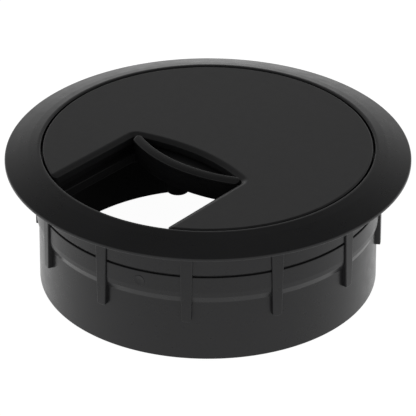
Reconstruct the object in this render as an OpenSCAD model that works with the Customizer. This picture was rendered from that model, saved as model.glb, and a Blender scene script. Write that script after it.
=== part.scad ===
// Desk cable grommet for a standard 80 mm hole: liner, rotating cap and sliding gate.
// Millimetres. Z is up, the desk surface is z = 0, the cable notch opens toward -Y.

/* [Liner] */
// Outside diameter of the flange
flange_d = 93; // [88:0.5:100]
// Diameter over the twelve grip ribs, the size of the desk hole
rib_d = 80; // [79:0.1:81]
// Outside diameter of the collar between the ribs
collar_d = 79.2; // [78:0.1:79.6]
// Outside diameter of the sleeve below the collar
sleeve_d = 77.8; // [76:0.1:78.6]
// Inside diameter of the sleeve
bore_d = 74; // [70:0.5:75]
// Depth of the sleeve below the desk surface
sleeve_h = 30; // [20:1:50]
// Height of the flange crest above the desk surface
crest_h = 3.2; // [2.5:0.1:5]
// Thickness of the flange at its outer edge
edge_t = 0.8; // [0.6:0.1:1.5]
// Diameter of the rebate that the cap lies in
rebate_d = 76.4; // [76:0.1:77]
// Height of the ledge that carries the cap
ledge_h = 0.8; // [0.4:0.1:1.6]
// Height of the rib ends below the desk surface
rib_len = 19.8; // [12:0.1:26]
// Width of a rib at the desk surface
rib_w = 3.15; // [2:0.05:4]
// Width of a rib at its lower end
rib_w_low = 2.2; // [1.5:0.05:4]

/* [Cap] */
// Diameter of the cap
cap_d = 75.6; // [74:0.1:76]
// Thickness of the cap plate
cap_t = 2.3; // [1.6:0.1:3]
// Width of the slope on the upper edge of the notch
bevel_w = 1.54; // [0.8:0.02:2]
// Depth of the slope on the upper edge of the notch
bevel_h = 0.62; // [0.3:0.02:1]
// Half width of the notch 20 mm from the axis
notch_hw = 16.56; // [14:0.02:18]
// Angle by which each side of the notch opens toward the rim
notch_flare = 0.87; // [0:0.01:3]
// Distance of the back of the notch from the axis
notch_back = 3.84; // [0:0.02:10]
// Radius of the back of the notch
notch_arc = 45.5; // [30:0.1:60]
// Radius in the two inner corners of the notch
notch_corner = 1.4; // [1:0.1:4]
// Lower end of the rails that carry the gate
rail_low = -4.35; // [-8:0.05:-3]
// Top of the rails that carry the gate
rail_top = -1.95; // [-4:0.05:-1.9]

/* [Gate] */
// Radius of the outer edge of the lip
lip_arc = 35.03; // [33:0.01:38]
// Distance of the outer edge of the lip from the axis
lip_front = 12.03; // [10:0.01:14]
// Width of the lip
lip_w = 2.12; // [1.4:0.02:3]
// Half length of the lip
lip_hw = 15.7; // [12:0.1:16]
// Height of the lip above the desk surface
lip_top = 3.2; // [2.5:0.1:3.2]
// Lower end of the gate's front wall
wall_low = -2.85; // [-6:0.05:-2]
// Top of the gate plate
gate_top = 0.6; // [0:0.1:0.8]
// Thickness of the gate plate
gate_t = 2; // [1.2:0.1:2.2]
// Rear end of the gate plate
gate_rear = 27.2; // [20:0.1:30]
// Diameter of the post behind the front wall
post_d = 5.1; // [3:0.1:6]

/* [Hidden] */
$fn = 128;
e = 0.01;
flange_r = flange_d / 2;
rib_r = rib_d / 2;
collar_r = collar_d / 2;
sleeve_r = sleeve_d / 2;
bore_r = bore_d / 2;
rebate_r = rebate_d / 2;
cap_r = cap_d / 2;
rib_first = 3.85;
groove_z = -7.7;
groove_h = 0.55;
groove_in = 0.5;
band_low = -12.3;
collar_low = -13.5;
lead_low = -15;
mark_angle = -72.05;
mark_z = -10.76;
mark_d = 2.7;
snap_z = -3.4;
snap_r = bore_r + 0.3;
skirt_r = bore_r - 0.15;
skirt_t = 1.35;
skirt_low = -5.2;
cap_low = crest_h - cap_t;
chan_in = 18.6;
chan_out = 20;
chan_rear = 28.2;
tf = tan(notch_flare);
arc_cy = -notch_back - notch_arc;
// centre of the left inner corner of the notch
cb = -notch_hw + 20 * tf + notch_corner / cos(notch_flare);
ca = tf * tf + 1;
cB = 2 * (tf * cb - arc_cy);
cc = cb * cb + arc_cy * arc_cy - pow(notch_arc - notch_corner, 2);
cor_y = (-cB + sqrt(cB * cB - 4 * ca * cc)) / (2 * ca);
cor_x = tf * cor_y + cb;
// directions from that centre to the two tangent points
t1 = 180 - notch_flare;
t2 = atan2(cor_y - arc_cy, cor_x);
lip_cy = lip_arc - lip_front;
lip_in = lip_arc - lip_w;
// the ends of the lip are round in plan
end_r = lip_w / 2 - 0.04;
end_x = lip_hw - lip_w / 2;
end_ring = lip_arc - lip_w / 2;
lip_a = asin(end_x / end_ring);
wall_out = 34.65;
wall_mid = 34.58;
wall_foot = 34.4;
wall_in = 33;
step_z = -1.2;
wall_ring = 33.72;
wall_a = asin(14.75 / wall_ring);
runner_low = -1.75;
gate_hw = 18.3;
runner_w = 1.7;
post_x = -1.9;
post_y = -8.35;
post_low = -5.7;
stop_y = 25.45;
stop_low = -3.4;

// profile of the liner right of the axis
module liner_profile() {
  difference() {
    union() {
      // flange with a slightly crowned upper face
      intersection() {
        polygon([[rebate_r, 0], [flange_r - edge_t / 2, 0],
                 [flange_r - edge_t / 2 + 0.14, edge_t - 0.03],
                 [43.6, 1.78], [41.2, 2.56], [39.3, 3.08], [38.9, crest_h], [rebate_r, crest_h]]);
        translate([30, -2]) square([flange_r - 30, 10]);
      }
      translate([flange_r - edge_t / 2, edge_t / 2]) circle(d = edge_t);
      // collar, groove, band, lead-in and sleeve
      polygon([[bore_r, ledge_h], [rebate_r + e, ledge_h], [rebate_r + e, e], [collar_r, e],
               [collar_r, groove_z], [collar_r - groove_in, groove_z],
               [collar_r - groove_in, groove_z - groove_h],
               [collar_r - 0.25, groove_z - groove_h],
               [collar_r, groove_z - groove_h - 0.35],
               [collar_r, band_low], [collar_r - 0.12, collar_low],
               [sleeve_r, lead_low], [sleeve_r, -sleeve_h + 0.3],
               [sleeve_r - 0.3, -sleeve_h], [bore_r + 0.3, -sleeve_h],
               [bore_r, -sleeve_h + 0.3]]);
    }
    // groove for the cap's snap beads
    polygon([[bore_r - 1, snap_z - 0.9], [bore_r, snap_z - 0.9], [snap_r, snap_z - 0.6],
             [snap_r, snap_z + 0.6], [bore_r, snap_z + 0.9], [bore_r - 1, snap_z + 0.9]]);
    // round on the crest beside the cap
    difference() {
      translate([rebate_r - 1, crest_h - 0.4]) square([1.4, 1]);
      translate([rebate_r + 0.4, crest_h - 0.4]) circle(r = 0.4);
    }
  }
}

// one grip rib on +X, narrowing downward, with round lower corners
module rib() {
  intersection() {
    rotate([90, 0, 90]) translate([0, 0, sleeve_r - 0.6]) linear_extrude(height = 3) difference() {
      polygon([[-rib_w / 2, 0.2], [-rib_w_low / 2, -rib_len], [rib_w_low / 2, -rib_len], [rib_w / 2, 0.2]]);
      for (s = [-1, 1]) difference() {
        translate([s * rib_w_low / 2, -rib_len]) square([1.1, 1.1], center = true);
        translate([s * (rib_w_low / 2 - 0.53), -rib_len + 0.55]) circle(r = 0.55);
      }
    }
    translate([0, 0, -sleeve_h]) cylinder(r = rib_r, h = sleeve_h + 1);
  }
}

module liner() {
  color([0.09, 0.09, 0.095]) union() {
    rotate_extrude() liner_profile();
    for (k = [0 : 11]) rotate([0, 0, rib_first + 30 * k]) rib();
    // round gate mark on the band
    rotate([0, 0, mark_angle]) translate([collar_r - 1, 0, mark_z]) rotate([0, 90, 0]) cylinder(d = mark_d, h = 1.08);
  }
}

// outline of the notch, open past the rim
module notch_outline() {
  difference() {
    intersection() {
      polygon([[-notch_hw + 25 * tf, 5], [notch_hw - 25 * tf, 5],
               [notch_hw + 30 * tf, -50], [-notch_hw - 30 * tf, -50]]);
      translate([0, arc_cy]) circle(r = notch_arc, $fn = 256);
    }
    for (s = [0, 1]) mirror([s, 0]) difference() {
      polygon([[cor_x, cor_y], [cor_x + notch_corner * cos(t1) - 0.02, cor_y + notch_corner * sin(t1)],
               [cor_x + 1.6 * notch_corner * cos((t1 + t2) / 2), cor_y + 1.6 * notch_corner * sin((t1 + t2) / 2)],
               [cor_x + (notch_corner + 0.02) * cos(t2), cor_y + (notch_corner + 0.02) * sin(t2)]]);
      translate([cor_x, cor_y]) circle(r = notch_corner);
    }
  }
}

// what the slope takes away, u outward from the wall: steep at the wall, then half as steep up to the flat top
module edge_cut(up) {
  translate([0, up]) polygon([[-0.3, -bevel_h - 0.18], [0, -bevel_h], [0.42 * bevel_w, -0.39 * bevel_h],
                              [bevel_w, 0], [1.1 * bevel_w, 0.04], [1.1 * bevel_w, 0.4], [-0.3, 0.4]]);
}

module notch_slope() {
  translate([0, 0, crest_h]) {
    for (s = [0, 1]) mirror([s, 0, 0]) {
      // straight side, from the corner out past the rim
      translate([cor_x + notch_corner * cos(t1), cor_y + notch_corner * sin(t1), 0])
        rotate([0, 0, -notch_flare]) translate([0, 0.15, 0]) rotate([90, 0, 0]) linear_extrude(height = 40) mirror([1, 0]) edge_cut(0.01);
      // inner corner, running a little into both neighbours
      translate([cor_x, cor_y, 0]) rotate([0, 0, t2 - 2]) rotate_extrude(angle = t1 - t2 + 4) translate([notch_corner, 0]) edge_cut(0.025);
    }
    // back
    translate([0, arc_cy, 0]) rotate([0, 0, 179.9 - t2]) rotate_extrude(angle = 2 * t2 - 179.8, $fn = 256) translate([notch_arc, 0]) edge_cut(0.01);
  }
}

module cap() {
  color([0.10, 0.10, 0.105]) difference() {
    union() {
      // plate with a small bevel on its rim
      translate([0, 0, cap_low]) cylinder(r = cap_r, h = cap_t - 0.35);
      translate([0, 0, crest_h - 0.35]) cylinder(r1 = cap_r, r2 = cap_r - 0.35, h = 0.35);
      // skirt that turns in the sleeve
      translate([0, 0, skirt_low]) difference() {
        cylinder(r = skirt_r, h = cap_low - skirt_low + e);
        translate([0, 0, -1]) cylinder(r = skirt_r - skirt_t, h = cap_low - skirt_low + 3);
        translate([-chan_in, -50, -1]) cube([2 * chan_in, 50, 20]);
      }
      // snap beads
      for (k = [0 : 3]) rotate([0, 0, 45 + 90 * k - 9]) rotate_extrude(angle = 18)
        polygon([[skirt_r - 0.6, snap_z - 0.55], [skirt_r, snap_z - 0.55], [snap_r - 0.15, snap_z - 0.3],
                 [snap_r - 0.15, snap_z + 0.3], [skirt_r, snap_z + 0.55], [skirt_r - 0.6, snap_z + 0.55]]);
      // channels, rails and the web that joins the rails behind the notch
      intersection() {
        translate([0, 0, rail_low]) cylinder(r = skirt_r, h = cap_low - rail_low + e);
        union() {
          for (s = [-1, 1]) translate([s * (chan_in + chan_out) / 2, 0, 0]) {
            translate([-(chan_out - chan_in) / 2, -40, rail_low]) cube([chan_out - chan_in, 40 + chan_rear, cap_low - rail_low + e]);
          }
          translate([-chan_out, -40, rail_low]) cube([2 * chan_out, 40, rail_top - rail_low]);
          for (s = [-1, 1]) translate([s * (16 + chan_out) / 2 - (chan_out - 16) / 2, -1, rail_low]) cube([chan_out - 16, 1 + chan_rear, rail_top - rail_low]);
        }
      }
    }
    // notch through the plate and, between the rails, through the web
    translate([0, 0, rail_low - 1]) linear_extrude(height = 10) notch_outline();
    notch_slope();
  }
}

// lip with its crowned top, sloping toward the mouth
module lip_bar() {
  translate([0, lip_cy, 0]) rotate([0, 0, -90 - lip_a]) rotate_extrude(angle = 2 * lip_a, $fn = 200)
    polygon([[lip_in, gate_top - 0.5], [wall_out, gate_top - 0.5], [wall_out, 1.9], [lip_arc, 2.15],
             [lip_arc, lip_top - 0.58], [lip_arc - 0.23, lip_top - 0.35], [lip_arc - 0.75, lip_top - 0.16],
             [lip_arc - 1.4, lip_top - 0.04], [lip_in + 0.15, lip_top], [lip_in, lip_top - 0.15]]);
}

// front wall with a small step
module front_wall() {
  translate([0, lip_cy, 0]) rotate([0, 0, -90 - wall_a]) rotate_extrude(angle = 2 * wall_a, $fn = 200)
    polygon([[wall_in, gate_top - 0.3], [wall_in, wall_low + 0.15], [wall_in + 0.15, wall_low], [wall_foot - 0.15, wall_low],
             [wall_foot, wall_low + 0.15], [wall_foot, step_z], [wall_mid, step_z], [wall_mid, gate_top - 0.3]]);
}

module gate() {
  color([0.085, 0.085, 0.09]) union() {
    lip_bar();
    front_wall();
    for (s = [-1, 1]) {
      // round ends of the lip and of the wall
      translate([s * end_x, lip_cy - end_ring * cos(lip_a), 0]) {
        translate([0, 0, gate_top - 0.4]) cylinder(r = end_r, h = lip_top - 0.45 - gate_top + 0.4, $fn = 64);
        translate([0, 0, lip_top - 0.45]) cylinder(r1 = end_r, r2 = end_r - 0.45, h = 0.3, $fn = 64);
      }
      translate([s * 14.75, lip_cy - wall_ring * cos(wall_a), wall_low + 0.08]) cylinder(r = 0.64, h = gate_top - wall_low - 0.3, $fn = 64);
    }
    // plate and runners
    intersection() {
      union() {
        translate([-gate_hw, -14, gate_top - gate_t]) cube([2 * gate_hw, 14 + gate_rear, gate_t]);
        for (s = [-1, 1]) translate([s * (gate_hw - runner_w / 2) - runner_w / 2, -14, runner_low]) cube([runner_w, 14 + gate_rear, gate_top - runner_low - 0.4]);
      }
      union() {
        translate([0, lip_cy, -10]) cylinder(r = wall_mid - 0.5, h = 20, $fn = 200);
        translate([-30, lip_cy - 3, -10]) cube([60, 60, 20]);
      }
    }
    // post behind the front wall
    translate([post_x, post_y, post_low]) {
      cylinder(r1 = post_d / 2 - 0.25, r2 = post_d / 2, h = 0.25, $fn = 96);
      translate([0, 0, 0.25]) cylinder(r1 = post_d / 2, r2 = post_d / 2 + 0.3, h = gate_top - post_low - 0.75, $fn = 96);
    }
    // snap stop at the rear, ramped for assembly
    rotate([90, 0, 90]) translate([0, 0, -7]) linear_extrude(height = 14)
      polygon([[stop_y, gate_top - 0.5], [stop_y, stop_low], [stop_y + 0.5, stop_low], [gate_rear, gate_top - gate_t - 0.2], [gate_rear, gate_top - 0.5]]);
  }
}

liner();
cap();
gate();
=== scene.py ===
import bpy, math
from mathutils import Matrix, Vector


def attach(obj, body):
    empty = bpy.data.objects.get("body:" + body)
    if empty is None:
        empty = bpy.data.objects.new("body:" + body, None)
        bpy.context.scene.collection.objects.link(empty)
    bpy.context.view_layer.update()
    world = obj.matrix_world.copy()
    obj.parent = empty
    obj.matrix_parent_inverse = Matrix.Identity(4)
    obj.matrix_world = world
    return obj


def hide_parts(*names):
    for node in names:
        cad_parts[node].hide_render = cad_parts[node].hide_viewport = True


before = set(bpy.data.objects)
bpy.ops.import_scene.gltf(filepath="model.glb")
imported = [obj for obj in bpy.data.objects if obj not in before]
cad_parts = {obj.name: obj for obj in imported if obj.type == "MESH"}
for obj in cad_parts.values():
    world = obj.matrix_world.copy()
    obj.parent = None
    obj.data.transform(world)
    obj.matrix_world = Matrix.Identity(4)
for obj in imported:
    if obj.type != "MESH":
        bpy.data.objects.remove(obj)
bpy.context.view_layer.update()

MM = 0.001
scene = bpy.context.scene


# ---------------------------------------------------------------- mesh helpers
class Build:
    """Collects points in millimetres and faces, several closed shells to one piece."""

    def __init__(self):
        self.v, self.f = [], []

    def ring(self, pts):
        i = len(self.v)
        self.v += [tuple(p) for p in pts]
        return list(range(i, i + len(pts)))

    def bridge(self, a, b, closed=True):
        n = len(a)
        for i in range(n if closed else n - 1):
            j = (i + 1) % n
            self.f.append((a[i], a[j], b[j], b[i]))

    def cap(self, a, flip=False):
        self.f.append(tuple(reversed(a)) if flip else tuple(a))

    def stack(self, rings, cap0=True, cap1=True):
        """Closed rings one over another; the first cap looks down."""
        ids = [self.ring(r) for r in rings]
        for a, b in zip(ids, ids[1:]):
            self.bridge(a, b)
        if cap0:
            self.cap(ids[0], True)
        if cap1:
            self.cap(ids[-1])
        return ids

    def lathe(self, prof, seg=360, a0=None, a1=None, cx=0.0, cy=0.0):
        """prof: closed (r, z) outline, counter-clockwise with r to the right."""
        full = a0 is None
        if full:
            a0, a1 = 0.0, 2 * math.pi
        n = seg if full else seg + 1
        rings = []
        for k in range(n):
            t = a0 + (a1 - a0) * k / seg
            c, s = math.cos(t), math.sin(t)
            rings.append(self.ring([(cx + r * c, cy + r * s, z) for r, z in prof]))
        for k in range(n if full else n - 1):
            self.bridge(rings[(k + 1) % n], rings[k])
        if not full:
            self.cap(rings[0])
            self.cap(rings[-1], True)

    def object(self, name, mats, sharp=38):
        me = bpy.data.meshes.new(name)
        me.from_pydata([(x * MM, y * MM, z * MM) for x, y, z in self.v], [], self.f)
        me.validate()
        import bmesh
        bm = bmesh.new()
        bm.from_mesh(me)
        bmesh.ops.remove_doubles(bm, verts=bm.verts, dist=1e-7)
        bmesh.ops.recalc_face_normals(bm, faces=bm.faces)
        bm.to_mesh(me)
        bm.free()
        me.polygons.foreach_set("use_smooth", [True] * len(me.polygons))
        me.set_sharp_from_angle(angle=math.radians(sharp))
        for m in mats:
            me.materials.append(m)
        ob = bpy.data.objects.new(name, me)
        scene.collection.objects.link(ob)
        return ob


def rounded(pts, seg=6, hold=0.05):
    """Closed outline [(x, y, radius)] with its corners rounded, and a point held just outside each round."""
    out = []
    n = len(pts)
    for i, (x, y, r) in enumerate(pts):
        p = Vector((x, y))
        a = Vector(pts[i - 1][:2]) - p
        b = Vector(pts[(i + 1) % n][:2]) - p
        la, lb = a.length, b.length
        a.normalize()
        b.normalize()
        if r <= 0:
            out.append((x, y))
            continue
        half = a.angle(b) / 2
        d = r / math.tan(half)
        lim = 0.46 * min(la, lb)
        if d > lim:
            d = lim
            r = d * math.tan(half)
        h = min(hold, 0.25 * d + 0.01)
        ta, tb = p + a * d, p + b * d
        c = p + (a + b).normalized() * (r / math.sin(half))
        va, vb = ta - c, tb - c
        sweep = va.angle_signed(vb) * -1
        k = max(2, round(seg * abs(sweep) / (math.pi / 2))) if seg > 1 else 1
        out.append(tuple(ta + a * h))
        a0 = math.atan2(va.y, va.x)
        for j in range(k + 1):
            t = a0 + sweep * j / k
            out.append((c.x + r * math.cos(t), c.y + r * math.sin(t)))
        out.append(tuple(tb + b * h))
    return out


def arc(cx, cy, r, a0, a1, step):
    n = max(2, int(abs(a1 - a0) * r / step + 0.999))
    return [(cx + r * math.cos(a0 + (a1 - a0) * i / n), cy + r * math.sin(a0 + (a1 - a0) * i / n)) for i in range(n + 1)]


# ---------------------------------------------------------------- sizes, as in the CAD
CREST, LEDGE, BORE, SLEEVE_H = 3.2, 0.8, 37.0, 30.0
FLANGE_R, REBATE_R, COLLAR_R, SLEEVE_R, RIB_R = 46.5, 38.2, 39.55, 38.9, 40.0
CAP_R, CAP_LOW = 37.8, 0.9
HW, FLARE, BACK, ARC_R, COR = 16.56, math.radians(0.87), 3.84, 45.5, 1.4
RAIL_LOW, RAIL_TOP, SKIRT_LOW = -4.35, -1.95, -5.2
TF = math.tan(FLARE)
ARC_CY = -BACK - ARC_R
LIP_R, LIP_IN, LIP_CY, LIP_TOP = 35.03, 32.91, 23.0, 3.2


# ---------------------------------------------------------------- materials
def plastic(name, base, rough, grain=1.0, seed=0.0, spec=0.28):
    m = bpy.data.materials.new(name)
    m.use_nodes = True
    nt = m.node_tree
    nt.nodes.clear()
    out = nt.nodes.new("ShaderNodeOutputMaterial")
    b = nt.nodes.new("ShaderNodeBsdfPrincipled")
    nt.links.new(b.outputs[0], out.inputs[0])
    b.inputs["Specular IOR Level"].default_value = spec
    b.inputs["IOR"].default_value = 1.5
    tc = nt.nodes.new("ShaderNodeTexCoord")
    mp = nt.nodes.new("ShaderNodeMapping")
    mp.inputs["Location"].default_value = (seed, seed * 0.7, seed * 1.3)
    nt.links.new(tc.outputs["Object"], mp.inputs[0])

    def noise(scale, detail, rough_=0.5):
        n = nt.nodes.new("ShaderNodeTexNoise")
        n.inputs["Scale"].default_value = scale
        n.inputs["Detail"].default_value = detail
        n.inputs["Roughness"].default_value = rough_
        nt.links.new(mp.outputs[0], n.inputs["Vector"])
        return n

    def remap(src, lo, hi, a=0.3, c=0.7):
        r = nt.nodes.new("ShaderNodeMapRange")
        r.inputs["From Min"].default_value = a
        r.inputs["From Max"].default_value = c
        r.inputs["To Min"].default_value = lo
        r.inputs["To Max"].default_value = hi
        nt.links.new(src, r.inputs["Value"])
        return r.outputs[0]

    fine = noise(2600, 2)
    mid = noise(420, 3)
    broad = noise(45, 2)
    # colour: black with a faint cloudiness and a fine speckle
    mix = nt.nodes.new("ShaderNodeMix")
    mix.data_type = "RGBA"
    mix.inputs[6].default_value = (*[c * 0.78 for c in base], 1)
    mix.inputs[7].default_value = (*[c * 1.25 for c in base], 1)
    add = nt.nodes.new("ShaderNodeMath")
    add.operation = "MULTIPLY_ADD"
    add.inputs[1].default_value = 0.5
    nt.links.new(remap(fine.outputs[0], 0, 1), add.inputs[0])
    nt.links.new(remap(broad.outputs[0], 0, 0.5), add.inputs[2])
    nt.links.new(add.outputs[0], mix.inputs[0])
    nt.links.new(mix.outputs[2], b.inputs["Base Color"])
    # roughness: satin, varying with the mould's polish
    r1 = nt.nodes.new("ShaderNodeMath")
    r1.operation = "ADD"
    nt.links.new(remap(mid.outputs[0], rough - 0.03, rough + 0.03), r1.inputs[0])
    nt.links.new(remap(broad.outputs[0], -0.02, 0.02), r1.inputs[1])
    nt.links.new(r1.outputs[0], b.inputs["Roughness"])
    # relief: spark-eroded grain
    bp = nt.nodes.new("ShaderNodeBump")
    bp.inputs["Strength"].default_value = 0.10 * grain
    bp.inputs["Distance"].default_value = 0.00002
    nt.links.new(fine.outputs[0], bp.inputs["Height"])
    nt.links.new(bp.outputs[0], b.inputs["Normal"])
    return m


M_LINER = plastic("liner_black", (0.0105, 0.0105, 0.0112), 0.30, 1.0, 0.0)
M_CAP = plastic("cap_black", (0.0115, 0.0115, 0.0120), 0.34, 1.2, 3.1)
M_GATE = plastic("gate_black", (0.0095, 0.0095, 0.0100), 0.30, 0.4, 7.7)


# ---------------------------------------------------------------- liner
def liner():
    b = Build()
    crown = [(38.95, 3.2, 0.9), (41.0, 2.64, 3.0), (43.4, 1.86, 3.0)]
    prof = rounded(
        [(BORE, LEDGE, 0.15), (BORE, -2.5, 0.1), (37.3, -2.8, 0.1), (37.3, -4.0, 0.1), (BORE, -4.3, 0.1),
         (BORE, -SLEEVE_H, 0.3), (SLEEVE_R, -SLEEVE_H, 0.3), (SLEEVE_R, -15.0, 0.5), (COLLAR_R - 0.12, -13.5, 0.12),
         (COLLAR_R, -12.3, 0.5), (COLLAR_R, -8.25, 0.3), (COLLAR_R - 0.5, -8.25, 0.08), (COLLAR_R - 0.5, -7.7, 0.08),
         (COLLAR_R, -7.7, 0.08), (COLLAR_R, 0.0, 0.2), (FLANGE_R, 0.0, 0.22), (FLANGE_R, 0.78, 0.42)]
        + list(reversed(crown)) + [(REBATE_R, CREST, 0.35), (REBATE_R, LEDGE, 0.1)], 7)
    b.lathe(prof, 480)
    # ribs
    for k in range(12):
        a = math.radians(3.85 + 30 * k)
        line = rounded([(-3.15 / 2, 0.12, 0), (-2.2 / 2, -19.8, 0.55), (2.2 / 2, -19.8, 0.55), (3.15 / 2, 0.12, 0)], 7, 0.05)
        mid = Vector((0.0, -9.5))

        def loop(inset, rad):
            pts = []
            n = len(line)
            for i, p in enumerate(line):
                t = Vector(line[(i + 1) % n]) - Vector(line[i - 1])
                nn = Vector((-t.y, t.x)).normalized()  # looks inward on a counter-clockwise outline
                q = Vector(p) + nn * inset
                th = a + q.x / rad
                pts.append((rad * math.cos(th), rad * math.sin(th), min(q.y, 0.12)))
            return pts

        r = 0.2
        rings = [loop(0, SLEEVE_R - 0.5), loop(0, RIB_R - r - 0.05), loop(0, RIB_R - r)]
        for j in range(1, 6):
            t = math.pi / 2 * j / 5
            rings.append(loop(r * (1 - math.cos(t)), RIB_R - r + r * math.sin(t)))
        rings.append(loop(r + 0.05, RIB_R))
        # the face itself follows the cylinder: strips across the width
        ids = [b.ring(x) for x in rings]
        for p, q in zip(ids, ids[1:]):
            b.bridge(p, q)
        b.cap(ids[0], True)
        b.cap(ids[-1])
    # gate mark on the band
    a = math.radians(-72.05)
    n = 40
    rings = []
    for rad, out in ((1.35, 39.3), (1.35, 39.57), (1.32, 39.61), (1.25, 39.625), (1.12, 39.62), (1.05, 39.59)):
        rr = []
        for i in range(n):
            t = 2 * math.pi * i / n
            th = a + rad * math.cos(t) / out
            rr.append((out * math.cos(th), out * math.sin(th), -10.76 + rad * math.sin(t)))
        rings.append(rr)
    b.stack(rings)
    ob = b.object("liner_shell", [M_LINER])
    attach(ob, "liner_body")
    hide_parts("liner")


# ---------------------------------------------------------------- notch outline
def notch_path(shift=0.0, end_r=CAP_R, step=0.35):
    """Right mouth, round the back, to the left mouth: [(x, y, nx, ny)], normals into the cap."""
    cbx = -HW + 20 * TF + COR / math.cos(FLARE)
    A = TF * TF + 1
    B = 2 * (TF * cbx - ARC_CY)
    C = cbx * cbx + ARC_CY * ARC_CY - (ARC_R - COR) ** 2
    cy = (-B + math.sqrt(B * B - 4 * A * C)) / (2 * A)
    cx = TF * cy + cbx
    t1 = math.pi - FLARE
    t2 = math.atan2(cy - ARC_CY, cx)
    left = []
    # mouth point on the left side
    ex, ey = cx + COR * math.cos(t1), cy + COR * math.sin(t1)
    # side line x = ex + (y - ey) * tan
    aa = 1 + TF * TF
    bb = 2 * TF * (ex - ey * TF)
    cc = (ex - ey * TF) ** 2 - end_r ** 2
    my = (-bb - math.sqrt(bb * bb - 4 * aa * cc)) / (2 * aa)
    n = max(2, int((ey - my) / 1.2))
    nl = (-math.cos(FLARE), math.sin(FLARE))
    for i in range(n):
        y = my + (ey - my) * i / n
        left.append((ex + (y - ey) * TF, y + shift, *nl))
    for x, y in arc(cx, cy, COR, t1, t2, 0.18):
        left.append((x, y + shift, (x - cx) / COR, (y - cy) / COR))
    left = left[:-1]
    back = []
    for x, y in arc(0, ARC_CY, ARC_R, t2, math.pi - t2, step):
        back.append((x, y + shift, x / ARC_R, (y - ARC_CY) / ARC_R))
    right = [(-x, y, -nx, ny) for x, y, nx, ny in reversed(left)]
    return left + back + right  # left mouth, back, right mouth


def cap_loop(us, ur, zs, zr):
    """The plate's outline, counter-clockwise, drawn in by us at the notch and by ur at the rim."""
    path = notch_path()
    n0 = next(i for i, p in enumerate(path) if p[1] > -9.0)
    bend = path[n0:len(path) - n0]
    rho = max(0.03, 0.9 - 0.5 * (us + ur))
    ex, ey, nx, ny = path[0]
    dx, dy = -ny, nx
    if dy < 0:
        dx, dy = -dx, -dy
    px, py = ex + (us + rho) * nx, ey + (us + rho) * ny
    R = CAP_R - ur - rho
    bq = px * dx + py * dy
    t = -bq - math.sqrt(bq * bq - (px * px + py * py - R * R))
    cx, cy = px + t * dx, py + t * dy
    ta = math.atan2(-ny, -nx)
    tb = math.atan2(cy, cx)
    k = 12
    left = []
    for i in range(k + 1):
        a = tb + (ta - tb) * i / k
        f = i / k
        f = f * f * (3 - 2 * f)
        left.append((cx + rho * math.cos(a), cy + rho * math.sin(a), zr + (zs - zr) * f))
    sx, sy = left[-1][:2]
    gx, gy = bend[0][0] + bend[0][2] * us, bend[0][1] + bend[0][3] * us
    m = 16
    for i in range(1, m):
        left.append((sx + (gx - sx) * i / m, sy + (gy - sy) * i / m, zs))
    mid = [(x + a * us, y + c * us, zs) for x, y, a, c in bend]
    right = [(-x, y, z) for x, y, z in reversed(left)]
    a0 = math.atan2(cy, -cx)
    a1 = tb + 2 * math.pi
    nr = 420
    rim = []
    for i in range(1, nr):
        a = a0 + (a1 - a0) * i / nr
        rim.append(((CAP_R - ur) * math.cos(a), (CAP_R - ur) * math.sin(a), zr))
    return rim + left + mid + right


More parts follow.
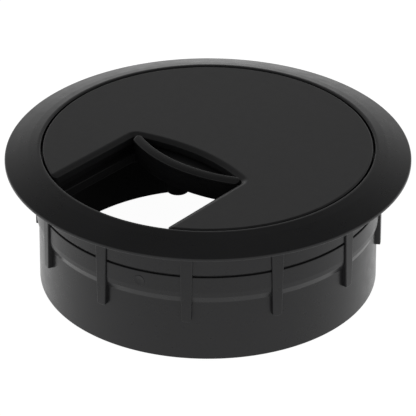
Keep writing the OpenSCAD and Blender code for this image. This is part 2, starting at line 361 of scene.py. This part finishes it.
def cap():
    b = Build()
    # slope on the notch edge (inset, drop) and the round on the rim, the same number of steps
    slope = [(0, -0.80), (0, -0.68), (0.012, -0.635), (0.045, -0.598), (0.33, -0.430), (0.60, -0.273)]
    for i in range(1, 9):
        t = i / 8
        u = (1 - t) ** 2 * 0.64 + 2 * t * (1 - t) * 1.073 + t * t * 1.54
        z = (1 - t) ** 2 * -0.25
        slope.append((u, z))
    slope += [(1.62, 0), (1.75, 0)]
    rim = [(0, -0.60), (0, -0.48)]
    for i in range(12):
        t = math.pi / 2 * i / 11
        rim.append((0.42 * (1 - math.cos(t)), 0.42 * (math.sin(t) - 1)))
    rim += [(0.48, 0), (0.60, 0)]
    rings = [cap_loop(0.5, 0.5, CAP_LOW, CAP_LOW), cap_loop(0.12, 0.12, CAP_LOW, CAP_LOW),
             cap_loop(0.035, 0.035, CAP_LOW + 0.035, CAP_LOW + 0.035), cap_loop(0, 0, CAP_LOW + 0.12, CAP_LOW + 0.12),
             cap_loop(0, 0, CAP_LOW + 0.2, CAP_LOW + 0.2)]
    for (us, ds), (ur, dr) in zip(slope, rim):
        rings.append(cap_loop(us, ur, CREST + ds, CREST + dr))
    b.stack(rings)
    # rails and the web that joins them, one bent bar along the notch
    path = notch_path(0.0, 37.1)
    sec = rounded([(0.0, RAIL_LOW, 0.5), (3.0, RAIL_LOW, 0.2), (3.0, RAIL_TOP, 0.1), (0.0, RAIL_TOP, 0.16)], 6)
    rings = []
    for x, y, nx, ny in path:
        rings.append(b.ring([(x + nx * u, y + ny * u, z) for u, z in sec]))
    for p, q in zip(rings, rings[1:]):
        b.bridge(p, q)
    b.cap(rings[0], True)
    b.cap(rings[-1])
    # channel walls
    for s in (1, -1):
        y0 = -math.sqrt(36.8 ** 2 - 20.0 ** 2)
        line = rounded([(18.6, y0 - 0.7, 0), (20.0, y0, 0), (20.0, 28.2, 0.3), (18.6, 28.2, 0.3)], 4)
        line = [(s * x, y) for x, y in line]
        if s < 0:
            line.reverse()
        b.stack([[(x, y, RAIL_LOW + 0.02) for x, y in line], [(x, y, CAP_LOW + 0.1) for x, y in line]])
        # rail behind the web
        line = rounded([(16.0, 0.3, 0), (20.02, 0.3, 0), (20.02, 28.22, 0.3), (16.0, 28.22, 0.3)], 4)
        line = [(s * x, y) for x, y in line]
        if s < 0:
            line.reverse()
        b.stack([[(x, y, z) for x, y in line] for z in (RAIL_LOW + 0.01, RAIL_LOW + 0.2, RAIL_TOP - 0.1, RAIL_TOP)])
    # skirt that turns in the sleeve
    ro, ri = 36.85, 35.5
    prof = rounded([(ri, SKIRT_LOW, 0.2), (ro, SKIRT_LOW, 0.3), (ro, CAP_LOW + 0.1, 0), (ri, CAP_LOW + 0.1, 0)], 5)
    a = math.acos(18.7 / ri)
    b.lathe(prof, 300, -a, math.pi + a)
    # snap beads
    for k in range(4):
        c = math.radians(45 + 90 * k)
        w = math.radians(9)
        pr = rounded([(36.3, -3.95, 0), (36.85, -3.95, 0.1), (37.15, -3.7, 0.15), (37.15, -3.1, 0.15), (36.85, -2.85, 0.1), (36.3, -2.85, 0)], 4)
        b.lathe(pr, 14, c - w, c + w)
    ob = b.object("cap_plate", [M_CAP])
    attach(ob, "cap_body")
    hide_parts("cap")


# ---------------------------------------------------------------- gate
def gate():
    b = Build()

    def bar(prof, rc, half, end_r, seg=120, dome=0.0):
        """Closed (radius, z) section swept about the lip's centre, its ends round in plan."""
        rings = []
        m = 10
        for k in range(-m, seg + m + 1):
            if k < 0:
                ph = math.pi / 2 * (-k) / m
                ang, w = -half - math.sin(ph) * end_r / rc, math.cos(ph)
            elif k > seg:
                ph = math.pi / 2 * (k - seg) / m
                ang, w = half + math.sin(ph) * end_r / rc, math.cos(ph)
            else:
                ang, w = -half + 2 * half * k / seg, 1.0
            w = max(w, 0.02)
            t = -math.pi / 2 + ang
            sag = dome * (1 - w) ** 2
            pts = []
            for r, z in prof:
                q = rc + (r - rc) * w
                pts.append((q * math.cos(t), LIP_CY + q * math.sin(t), z - (sag if z > 2.6 else 0)))
            rings.append(b.ring(pts))
        for p, q in zip(rings, rings[1:]):
            b.bridge(p, q)
        b.cap(rings[0], True)
        b.cap(rings[-1])

    # lip, its top crowned toward the mouth
    top = [(0.0, -0.17), (0.012, -0.10), (0.05, -0.045), (0.10, -0.012), (0.17, 0.0)]
    top += [(v, -(v - 0.17) ** 2 / 8.2) for v in (0.3, 0.5, 0.7, 0.9, 1.1, 1.3, 1.5, 1.7, 1.85)]
    top += [(1.95, -0.41), (2.03, -0.47), (2.09, -0.56), (2.12, -0.68)]
    prof = [(LIP_IN + v, LIP_TOP + z) for v, z in top]
    prof += [(LIP_R, 2.25), (LIP_R - 0.06, 2.14), (LIP_R - 0.18, 2.08), (34.66, 1.9), (34.60, 0.2), (LIP_IN, 0.2)]
    bar(prof, 33.97, math.asin(14.64 / 33.97), 1.02, dome=0.22)
    # front wall with its step
    prof = rounded([(33.0, 0.4, 0), (33.0, -2.85, 0.15), (34.4, -2.85, 0.2), (34.4, -1.2, 0.04), (34.60, -1.2, 0.08), (34.62, 0.4, 0)], 6)
    bar(prof, 33.72, math.asin(14.75 / 33.72), 0.64)

    # plate with its two runners
    def plate(zs, x0, x1, y1):
        rr = 34.08
        n = 60
        front = [(x0 + (x1 - x0) * i / n, LIP_CY - math.sqrt(rr * rr - (x0 + (x1 - x0) * i / n) ** 2)) for i in range(n + 1)]
        line = front + [(x1, y1), (x0, y1)]
        b.stack([[(x, y, z) for x, y in line] for z in zs])

    plate((-1.4, -1.35, 0.55, 0.6), -18.3, 18.3, 27.2)
    for s in (1, -1):
        x0, x1 = (16.6, 18.28) if s > 0 else (-18.28, -16.6)
        plate((-1.75, -1.7, 0.5, 0.58), x0, x1, 27.18)
    # post behind the wall
    n = 72
    rings = []
    for rad, z in ((2.85, -0.2), (2.56, -5.30), (2.55, -5.36)) + tuple(
            (2.21 + 0.34 * math.cos(t), -5.36 - 0.34 * math.sin(t)) for t in [math.pi / 2 * j / 6 for j in range(1, 7)]) + ((2.1, -5.7),):
        rings.append([(-1.9 + rad * math.cos(2 * math.pi * i / n), -8.35 + rad * math.sin(2 * math.pi * i / n), z) for i in range(n)])
    b.stack(rings)
    # snap stop
    pts = [(25.45, 0.1), (25.45, -3.4), (25.95, -3.4), (27.18, -1.6), (27.18, 0.1)]
    b.stack([[(x, y, z) for y, z in pts] for x in (-7, 7)])
    ob = b.object("gate_slider", [M_GATE])
    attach(ob, "gate_body")
    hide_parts("gate")


liner()
cap()
gate()


# ---------------------------------------------------------------- camera
AZ, PITCH = math.radians(40.85), math.radians(30.26)
cam = bpy.data.objects.new("camera", bpy.data.cameras.new("camera"))
scene.collection.objects.link(cam)
cam.data.sensor_width = 36
cam.data.lens = 4521 * 36 / 416
cam.data.clip_start, cam.data.clip_end = 0.05, 50
yc, zc = 898.97 * MM, 511.15 * MM
cam.location = (yc * math.sin(AZ), -yc * math.cos(AZ), zc)
cam.rotation_euler = (math.pi / 2 - PITCH, 0, AZ)
scene.camera = cam

# ---------------------------------------------------------------- floor and light
FLOOR_Z = -SLEEVE_H * MM - 0.00005
HOLE, EDGE, SEG = 0.0385, 6.0, 96


def circle_points(r):
    return [(r * math.cos(2 * math.pi * i / SEG), r * math.sin(2 * math.pi * i / SEG), 0) for i in range(SEG)]


floor_me = bpy.data.meshes.new("floor")
floor_me.from_pydata(circle_points(HOLE) + circle_points(EDGE), [], [(i, (i + 1) % SEG, SEG + (i + 1) % SEG, SEG + i) for i in range(SEG)])
floor = bpy.data.objects.new("floor", floor_me)
inner_me = bpy.data.meshes.new("floor_inner")
inner_me.from_pydata(circle_points(HOLE), [], [tuple(range(SEG))])
inner = bpy.data.objects.new("floor_inner", inner_me)
for f in (floor, inner):
    f.location = (0, 0, FLOOR_Z)
    scene.collection.objects.link(f)
# the floor under the sleeve is seen but throws no light up the bore
inner.visible_glossy = False
inner.visible_diffuse = False
fm = bpy.data.materials.new("floor_white")
fm.use_nodes = True
nt = fm.node_tree
nt.nodes.clear()
fo = nt.nodes.new("ShaderNodeOutputMaterial")
fa = nt.nodes.new("ShaderNodeAddShader")
fd = nt.nodes.new("ShaderNodeBsdfDiffuse")
fe = nt.nodes.new("ShaderNodeEmission")
fd.inputs["Color"].default_value = (0.25, 0.25, 0.25, 1)
fe.inputs["Color"].default_value = (1, 1, 1, 1)
fe.inputs["Strength"].default_value = 0.97
nt.links.new(fd.outputs[0], fa.inputs[0])
nt.links.new(fe.outputs[0], fa.inputs[1])
nt.links.new(fa.outputs[0], fo.inputs[0])
floor_me.materials.append(fm)
inner_me.materials.append(fm)

world = bpy.data.worlds.new("studio")
scene.world = world
world.use_nodes = True
nt = world.node_tree
nt.nodes.clear()
wo = nt.nodes.new("ShaderNodeOutputWorld")
wb = nt.nodes.new("ShaderNodeBackground")
wt = nt.nodes.new("ShaderNodeTexCoord")
ws = nt.nodes.new("ShaderNodeSeparateXYZ")
wr = nt.nodes.new("ShaderNodeMapRange")
wr.inputs["From Min"].default_value = -1
wr.inputs["From Max"].default_value = 1
cr = nt.nodes.new("ShaderNodeValToRGB")
el = cr.color_ramp.elements
stops = [(-90, 0.03), (-6, 0.03), (-2, 0.9), (12, 0.85), (24, 0.50), (32, 0.42), (45, 0.22), (65, 0.20), (90, 0.35)]
el[0].position, el[0].color = (math.sin(math.radians(stops[0][0])) + 1) / 2, (stops[0][1],) * 3 + (1,)
el[1].position, el[1].color = 1.0, (stops[-1][1],) * 3 + (1,)
for d, v in stops[1:-1]:
    e = el.new((math.sin(math.radians(d)) + 1) / 2)
    e.color = (v, v, v, 1)
nt.links.new(wt.outputs["Generated"], ws.inputs[0])
nt.links.new(ws.outputs["Z"], wr.inputs["Value"])
nt.links.new(wr.outputs[0], cr.inputs[0])
nt.links.new(cr.outputs[0], wb.inputs["Color"])
nt.links.new(wb.outputs[0], wo.inputs[0])
wb.inputs["Strength"].default_value = 1.0

scene.view_settings.view_transform = "Standard"
scene.view_settings.look = "None"
